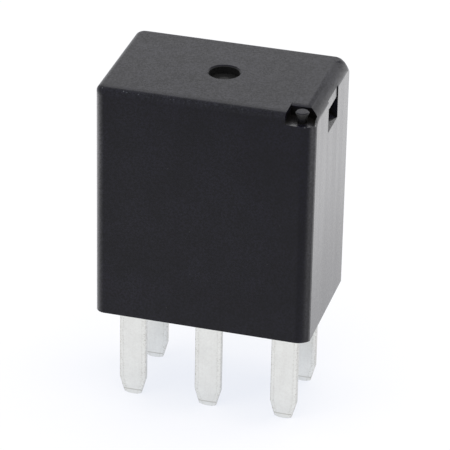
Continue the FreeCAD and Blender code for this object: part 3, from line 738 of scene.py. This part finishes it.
def lathed(name, profile, material):
    """A closed solid or ring turned about the vertical line through the origin, from (radius, height) pairs."""
    work = bmesh.new()
    rings = []
    for step in range(LATHE_STEPS):
        turn = 2 * math.pi * step / LATHE_STEPS
        rings.append([work.verts.new((r * math.cos(turn), r * math.sin(turn), z)) for r, z in profile])
    for ring, following in zip(rings, rings[1:] + rings[:1]):
        for low in range(len(profile)):
            high = (low + 1) % len(profile)
            work.faces.new((ring[low], following[low], following[high], ring[high]))
    bmesh.ops.remove_doubles(work, verts=work.verts, dist=MERGE_DISTANCE)
    bmesh.ops.recalc_face_normals(work, faces=work.faces)
    mesh = bpy.data.meshes.new(name)
    work.to_mesh(mesh)
    work.free()
    return keep(name, mesh, material)


# Geometry node trees

def geometry_tree(name, takes):
    """A geometry tree that takes a geometry, these inputs as (name, kind, default), and a material.

    Returns the tree and the sockets that it is given.
    """
    tree = bpy.data.node_groups.new(name, "GeometryNodeTree")
    tree.interface.new_socket("Geometry", in_out="INPUT", socket_type="NodeSocketGeometry")
    for label, kind, value in takes:
        socket = tree.interface.new_socket(label, in_out="INPUT", socket_type=kind)
        socket.default_value = value
    tree.interface.new_socket("Material", in_out="INPUT", socket_type="NodeSocketMaterial")
    tree.interface.new_socket("Geometry", in_out="OUTPUT", socket_type="NodeSocketGeometry")
    return tree, add(tree, "NodeGroupInput").outputs


def finish_tree(tree, geometry, material):
    """Ends a geometry tree: instances made real, the material set."""
    real = add(tree, "GeometryNodeRealizeInstances", {0: geometry})
    painted = add(tree, "GeometryNodeSetMaterial", {"Geometry": real.outputs[0], "Material": material})
    add(tree, "NodeGroupOutput", {0: painted.outputs[0]})
    return tree


def helix_tree():
    """Wire laid in one layer of turns over what it is given."""
    tree, given = geometry_tree("Wound wire", (
        ("Radius", "NodeSocketFloat", 0.005),
        ("Wire", "NodeSocketFloat", 0.0001),
        ("Length", "NodeSocketFloat", 0.01),
        ("Turns", "NodeSocketFloat", 60.0),
        ("Around", "NodeSocketInt", 40),
    ))
    spiral = add(tree, "GeometryNodeCurveSpiral", {
        "Resolution": given["Around"],
        "Rotations": given["Turns"],
        "Start Radius": given["Radius"],
        "End Radius": given["Radius"],
        "Height": given["Length"],
    })
    circle = {"Resolution": WIRE_SIDES, "Radius": product(tree, given["Wire"], 0.5)}
    section = add(tree, "GeometryNodeCurvePrimitiveCircle", circle)
    sweep = {"Curve": spiral.outputs[0], "Profile Curve": section.outputs[0], "Fill Caps": True}
    wire = add(tree, "GeometryNodeCurveToMesh", sweep)
    smooth = add(tree, "GeometryNodeSetShadeSmooth", {"Geometry": wire.outputs[0]})
    both = add(tree, "GeometryNodeJoinGeometry")
    tree.links.new(given["Geometry"], both.inputs[0])
    tree.links.new(smooth.outputs[0], both.inputs[0])
    return finish_tree(tree, both.outputs[0], given["Material"])


def row_tree():
    """Copies of what it is given, in a straight row that starts where it stands."""
    tree, given = geometry_tree("Row of fasteners", (
        ("Count", "NodeSocketInt", 2),
        ("Step", "NodeSocketVector", (0, 0.004, 0)),
    ))
    line = add(tree, "GeometryNodeMeshLine", {"Count": given["Count"], "Offset": given["Step"]}, mode="OFFSET")
    places = {"Points": line.outputs[0], "Instance": given["Geometry"]}
    copies = add(tree, "GeometryNodeInstanceOnPoints", places)
    return finish_tree(tree, copies.outputs[0], given["Material"])


def grow(obj, tree, values):
    """Runs a geometry tree on the object with these inputs, then keeps the result as a plain mesh."""
    modifier = obj.modifiers.new(tree.name, "NODES")
    modifier.node_group = tree
    for item in tree.interface.items_tree:
        if item.in_out == "INPUT" and item.name in values:
            modifier[item.identifier] = values[item.name]
    return settled(obj)


# Settings

class CoverSettings(bpy.types.PropertyGroup):
    colour: bpy.props.FloatVectorProperty(
        name="Plastic", description="Colour of the cover",
        subtype="COLOR", size=3, min=0.0, max=1.0, default=(0.0042, 0.0040, 0.0085))
    roughness: bpy.props.FloatProperty(
        name="Roughness", description="How matt the moulded surface is",
        subtype="FACTOR", min=0.0, max=1.0, default=0.34)
    gloss_index: bpy.props.FloatProperty(
        name="Index", description="Refractive index of the plastic", min=1.0, max=2.0, default=1.275)
    coat_index: bpy.props.FloatProperty(
        name="Skin index", description="Refractive index of the pressed skin", min=1.0, max=2.0, default=1.95)
    coat_roughness: bpy.props.FloatProperty(
        name="Skin roughness", description="How matt the pressed skin is",
        subtype="FACTOR", min=0.0, max=1.0, default=0.2)
    grazing_full: bpy.props.FloatProperty(
        name="Skin from", description="How far the surface turns away before its skin shows fully",
        subtype="FACTOR", min=0.0, max=1.0, default=0.76)
    # How far the painted shade of recesses reaches
    painted_shade_reach: bpy.props.FloatProperty(
        name="Recess reach", description="Width of a recess that stays dull",
        subtype="DISTANCE", unit="LENGTH", default=1.2 * MM)
    edge_radius: bpy.props.FloatProperty(
        name="Edge", description="Radius of the small edges",
        subtype="DISTANCE", unit="LENGTH", default=0.06 * MM)
    worn_band: bpy.props.FloatProperty(
        name="Worn band", description="How far wear reaches in from an outer edge",
        subtype="DISTANCE", unit="LENGTH", default=0.75 * MM)
    wear: bpy.props.FloatProperty(
        name="Wear", description="How much the edges are rubbed",
        subtype="FACTOR", min=0.0, max=1.0, default=0.4)


class BladeSettings(bpy.types.PropertyGroup):
    tin: bpy.props.FloatVectorProperty(
        name="Tin", description="Colour of the plating",
        subtype="COLOR", size=3, min=0.0, max=1.0, default=(0.8, 0.808, 0.785))
    tin_roughness: bpy.props.FloatProperty(
        name="Roughness", description="How dull the plating is",
        subtype="FACTOR", min=0.0, max=1.0, default=0.34)
    edge_radius: bpy.props.FloatProperty(
        name="Edge", description="Radius of the stamped edges",
        subtype="DISTANCE", unit="LENGTH", default=0.05 * MM)
    coin_width: bpy.props.FloatProperty(
        name="Coined edge", description="Width of the pressed band along each long edge",
        subtype="DISTANCE", unit="LENGTH", default=0.4 * MM)


class CoilSettings(bpy.types.PropertyGroup):
    wire: bpy.props.FloatProperty(
        name="Wire", description="Diameter of the wire over its enamel",
        subtype="DISTANCE", unit="LENGTH", default=0.14 * MM)
    bobbin: bpy.props.FloatVectorProperty(
        name="Bobbin", description="Colour of the bobbin",
        subtype="COLOR", size=3, min=0.0, max=1.0, default=(0.62, 0.58, 0.47))


class MagnetSettings(bpy.types.PropertyGroup):
    iron: bpy.props.FloatVectorProperty(
        name="Iron", description="Colour of the plated iron",
        subtype="COLOR", size=3, min=0.0, max=1.0, default=(0.56, 0.55, 0.52))
    spring: bpy.props.FloatVectorProperty(
        name="Spring", description="Colour of the copper spring",
        subtype="COLOR", size=3, min=0.0, max=1.0, default=(0.78, 0.45, 0.26))
    edge_radius: bpy.props.FloatProperty(
        name="Edge", description="Radius of the stamped edges",
        subtype="DISTANCE", unit="LENGTH", default=0.06 * MM)


class StageSettings(bpy.types.PropertyGroup):
    azimuth: bpy.props.FloatProperty(
        name="Azimuth", description="Camera angle round the object, from the front towards the right",
        subtype="ANGLE", unit="ROTATION", default=math.radians(15.319))
    elevation: bpy.props.FloatProperty(
        name="Elevation", description="Camera angle above the horizon",
        subtype="ANGLE", unit="ROTATION", default=math.radians(28.325))
    roll: bpy.props.FloatProperty(
        name="Roll", description="Turn of the camera about its own line of sight",
        subtype="ANGLE", unit="ROTATION", default=math.radians(1.1527))
    distance: bpy.props.FloatProperty(
        name="Distance", description="Camera to its target",
        subtype="DISTANCE", unit="LENGTH", default=0.322296)
    lens: bpy.props.FloatProperty(
        name="Lens", description="Focal length in millimetres", unit="CAMERA", default=252.65)
    target: bpy.props.FloatVectorProperty(
        name="Target", description="What the camera looks at",
        subtype="TRANSLATION", unit="LENGTH", size=3, default=(0.000375, 0.0000175, 0.0192454))
    ambient: bpy.props.FloatProperty(
        name="Room light", description="Light from all round", min=0.0, default=0.62)
    floor_glow: bpy.props.FloatVectorProperty(
        name="Floor in shadow", description="Colour that the floor shows whatever its shadow",
        subtype="COLOR", size=3, min=0.0, max=1.0, default=(0.728, 0.768, 0.855))
    floor_lit: bpy.props.FloatVectorProperty(
        name="Floor in light", description="Share of the light that the floor adds where it is lit",
        subtype="COLOR", size=3, min=0.0, max=1.0, default=(0.246, 0.212, 0.156))


SETTINGS = {
    "relay_cover": CoverSettings,
    "relay_blades": BladeSettings,
    "relay_coil": CoilSettings,
    "relay_magnet": MagnetSettings,
    "relay_stage": StageSettings,
}


# Operators

class RELAY_OT_cover(bpy.types.Operator):
    """Build the black cover with its slots, gate dimple and vent pin"""
    bl_idname = "relay.cover"
    bl_label = "Cover"

    def execute(self, context):
        settings = context.scene.relay_cover
        mesh = merged_mesh("cover")
        self.ease_corner(mesh)
        shell = softened(keep("cover_shell", mesh, cover_plastic(settings)), settings.edge_radius, segments=3)
        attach(shell, "housing")
        dress("cover")
        return {"FINISHED"}

    def ease_corner(self, mesh):
        """Evens out the rear top corner of the vent end, where a large and two small roundings meet."""
        start = COVER_HIGH - Vector((CORNER_REACH, CORNER_REACH, CORNER_REACH))
        work = bmesh.new()
        work.from_mesh(mesh)
        corner = [v for v in work.verts if v.co.x > start.x and v.co.y > start.y and v.co.z > start.z]
        curved = [v for v in corner if all(f.calc_area() < CORNER_FACE for f in v.link_faces)]
        for _ in range(CORNER_PASSES):
            bmesh.ops.smooth_vert(
                work, verts=curved, factor=0.5, use_axis_x=True, use_axis_y=True, use_axis_z=True)
        work.to_mesh(mesh)
        work.free()


class RELAY_OT_base(bpy.types.Operator):
    """Build the base plate and the resin that seals it"""
    bl_idname = "relay.base"
    bl_label = "Base and resin"

    def execute(self, context):
        plate = plain_plastic("Base plate plastic", grey(0.03, -0.03), roughness=0.45)
        finished_node("base", "base_plate", plate, BASE_EDGE)
        finished_node("sealing_resin", "resin_layer", cured_resin(), RESIN_EDGE)
        return {"FINISHED"}


class RELAY_OT_terminals(bpy.types.Operator):
    """Build the five stamped terminals with their blades"""
    bl_idname = "relay.terminals"
    bl_label = "Terminals"

    def execute(self, context):
        settings = context.scene.relay_blades
        tin = tinned_blade(settings)
        for number in ("30", "85", "86", "87", "87a"):
            finished_node("terminal_" + number, "blade_" + number, tin, settings.edge_radius)
        return {"FINISHED"}


class RELAY_OT_magnet(bpy.types.Operator):
    """Build the yoke and the core"""
    bl_idname = "relay.magnet"
    bl_label = "Magnet"

    def execute(self, context):
        settings = context.scene.relay_magnet
        iron = (*settings.iron, 1.0)
        rolled = worked_metal("Zinc-plated iron", iron, roughness=0.38, line=0.08, stretch=(1.0, 0.05, 1.0))
        finished_node("yoke", "yoke_angle", rolled, settings.edge_radius)
        turned = worked_metal("Turned iron", iron, roughness=0.3, line=0.1, stretch=(0.05, 0.05, 1.0))
        finished_node("core", "magnet_core", turned, settings.edge_radius)
        return {"FINISHED"}


class RELAY_OT_coil(bpy.types.Operator):
    """Build the bobbin, the wound wire with its tape, and the two leads"""
    bl_idname = "relay.coil"
    bl_label = "Coil"

    def execute(self, context):
        settings = context.scene.relay_coil
        shell = plain_plastic("Bobbin plastic", (*settings.bobbin, 1.0), roughness=0.42)
        finished_node("bobbin", "coil_bobbin", shell, BOBBIN_EDGE)
        wire = enamelled_wire()
        self.wind(settings, wire)
        finished_node("coil_tape", "coil_tape_wrap", coil_film(), TAPE_EDGE)
        for number in ("85", "86"):
            finished_node("coil_lead_" + number, "lead_" + number, wire, LEAD_EDGE)
        return {"FINISHED"}

    def wind(self, settings, wire):
        """The winding: a sleeve of wire with its outer layer of turns on it."""
        centre = (WINDING_LOW.x + WINDING_HIGH.x) / 2
        bore = min(math.hypot(v.co.x - centre, v.co.y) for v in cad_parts["coil_winding"].data.vertices)
        outer = WINDING_HIGH.y
        low, high = WINDING_LOW.z, WINDING_HIGH.z
        sleeve = outer - settings.wire * 0.75
        obj = lathed("coil_turns", [(bore, low), (sleeve, low), (sleeve, high), (bore, high)], wire)
        turns = math.floor((high - low) / settings.wire) - 1
        start = low + ((high - low) - turns * settings.wire) / 2
        obj.data.transform(Matrix.Translation((0, 0, -start)))
        grow(obj, helix_tree(), {
            "Radius": outer - settings.wire / 2,
            "Wire": settings.wire,
            "Length": turns * settings.wire,
            "Turns": float(turns),
            "Material": wire,
        })
        obj.data.transform(Matrix.Translation((centre, 0, start)))
        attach(obj, "housing")
        dress("coil_winding")


class RELAY_OT_armature(bpy.types.Operator):
    """Build the armature and the leaf spring that hinges it"""
    bl_idname = "relay.armature"
    bl_label = "Armature and spring"

    def execute(self, context):
        settings = context.scene.relay_magnet
        iron = worked_metal(
            "Plated armature iron", (*settings.iron, 1.0), roughness=0.36, line=0.08, stretch=(0.05, 1.0, 1.0))
        finished_node("armature", "armature_plate", iron, settings.edge_radius, body="armature_group")
        copper = worked_metal(
            "Spring copper", (*settings.spring, 1.0), roughness=0.3, line=0.06, stretch=(0.05, 1.0, 0.05))
        leaf = softened(keep("leaf_spring", merged_mesh("contact_spring"), copper), LEAF_EDGE, segments=1)
        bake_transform(leaf)
        dress("contact_spring")
        return {"FINISHED"}


class RELAY_OT_rivets(bpy.types.Operator):
    """Build the rivets that hold the spring to the yoke and to the armature"""
    bl_idname = "relay.rivets"
    bl_label = "Rivets"

    def execute(self, context):
        steel = worked_metal(
            "Bright rivet steel", (0.6, 0.59, 0.57, 1.0), roughness=0.28, line=0.1, stretch=(1.0, 1.0, 1.0))
        row = row_tree()
        for node, name, body in (
            ("yoke_rivets", "yoke_rivet_pair", "housing"),
            ("armature_rivets", "armature_rivet_pair", "armature_group"),
        ):
            rivet, step = first_of_pair(node)
            pair = grow(keep(name, rivet, steel), row, {"Count": 2, "Step": step, "Material": steel})
            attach(softened(pair, RIVET_EDGE), body)
            dress(node)
        return {"FINISHED"}


class RELAY_OT_contacts(bpy.types.Operator):
    """Build the moving contact and the two fixed ones"""
    bl_idname = "relay.contacts"
    bl_label = "Contacts"

    def execute(self, context):
        silver = worked_metal(
            "Contact silver", (0.86, 0.84, 0.8, 1.0), roughness=0.3, line=0.12, stretch=(1.0, 1.0, 1.0))
        for node, name, body in (
            ("moving_contact", "moving_button", "armature_group"),
            ("no_contact", "closing_button", "housing"),
            ("nc_contact", "resting_button", "housing"),
        ):
            finished_node(node, name, silver, CONTACT_EDGE, body=body)
        return {"FINISHED"}


class RELAY_OT_stage(bpy.types.Operator):
    """Set up the pale floor, the soft lights, the white room and the camera"""
    bl_idname = "relay.stage"
    bl_label = "Stage"

    def execute(self, context):
        settings = context.scene.relay_stage
        self.floor(settings)
        self.room(context, settings)
        self.lamps(context)
        self.camera(context, settings)
        context.scene.view_settings.view_transform = "Standard"
        return {"FINISHED"}

    def floor(self, settings):
        """A wide round sheet under the blade tips."""
        work = bmesh.new()
        bmesh.ops.create_circle(work, cap_ends=True, segments=FLOOR_STEPS, radius=FLOOR_RADIUS)
        mesh = bpy.data.meshes.new("studio_floor")
        work.to_mesh(mesh)
        work.free()
        keep("studio_floor", mesh, floor_finish(settings))

    def room(self, context, settings):
        """A white room for what is seen, and an even soft light for what is lit."""
        world = bpy.data.worlds.new("White room")
        tree = empty_tree(world)
        soft = add(tree, "ShaderNodeBackground", {"Color": WHITE, "Strength": settings.ambient})
        white = add(tree, "ShaderNodeBackground", {"Color": WHITE, "Strength": 1.0})
        mixed = add(tree, "ShaderNodeMixShader", {0: seen_rays(tree), 1: soft.outputs[0], 2: white.outputs[0]})
        add(tree, "ShaderNodeOutputWorld", {"Surface": mixed.outputs[0]})
        context.scene.world = world

    def lamps(self, context):
        """Large soft lamps: one overhead, one behind on the right, one low in front on the left."""
        for name, place, width, watts in LAMPS:
            lamp = bpy.data.lights.new(name, "AREA")
            lamp.shape = "SQUARE"
            lamp.size = width
            lamp.energy = watts
            obj = bpy.data.objects.new(name, lamp)
            obj.location = place
            obj.visible_glossy = False
            obj.rotation_euler = (LAMP_AIM - Vector(place)).to_track_quat("-Z", "Y").to_euler()
            context.scene.collection.objects.link(obj)

    def camera(self, context, settings):
        """The photograph's viewpoint."""
        turn, rise, roll = settings.azimuth, settings.elevation, settings.roll
        back = Vector((math.sin(turn) * math.cos(rise), -math.cos(turn) * math.cos(rise), math.sin(rise)))
        right = Vector((0, 0, 1)).cross(back).normalized()
        up = back.cross(right)
        rolled_right = right * math.cos(roll) + up * math.sin(roll)
        rolled_up = up * math.cos(roll) - right * math.sin(roll)
        data = bpy.data.cameras.new("photo_camera")
        data.sensor_width = SENSOR_WIDTH
        data.lens = settings.lens
        data.clip_start = NEAR_CLIP
        obj = bpy.data.objects.new("photo_camera", data)
        obj.matrix_world = Matrix((rolled_right, rolled_up, back)).transposed().to_4x4()
        obj.location = Vector(settings.target) + back * settings.distance
        context.scene.collection.objects.link(obj)
        context.scene.camera = obj


OPERATORS = (
    RELAY_OT_cover,
    RELAY_OT_base,
    RELAY_OT_terminals,
    RELAY_OT_magnet,
    RELAY_OT_coil,
    RELAY_OT_armature,
    RELAY_OT_rivets,
    RELAY_OT_contacts,
    RELAY_OT_stage,
)


class RELAY_PT_panel(bpy.types.Panel):
    """Lists the steps that build the relay and the sizes and colours they use"""
    bl_idname = "RELAY_PT_panel"
    bl_label = "Plug-in relay"
    bl_space_type = "VIEW_3D"
    bl_region_type = "UI"
    bl_category = "Relay"

    def draw(self, context):
        for operator in OPERATORS:
            self.layout.operator(operator.bl_idname)
        for name, group in SETTINGS.items():
            box = self.layout.box()
            for field in group.__annotations__:
                box.prop(getattr(context.scene, name), field)


def register():
    for group in SETTINGS.values():
        bpy.utils.register_class(group)
    for operator in OPERATORS:
        bpy.utils.register_class(operator)
    bpy.utils.register_class(RELAY_PT_panel)
    for name, group in SETTINGS.items():
        setattr(bpy.types.Scene, name, bpy.props.PointerProperty(type=group))


def unregister():
    for name in SETTINGS:
        delattr(bpy.types.Scene, name)
    bpy.utils.unregister_class(RELAY_PT_panel)
    for operator in reversed(OPERATORS):
        bpy.utils.unregister_class(operator)
    for group in SETTINGS.values():
        bpy.utils.unregister_class(group)


def main():
    register()
    for operator in OPERATORS:
        family, step = operator.bl_idname.split(".")
        getattr(getattr(bpy.ops, family), step)()


if __name__ == "__main__":
    main()
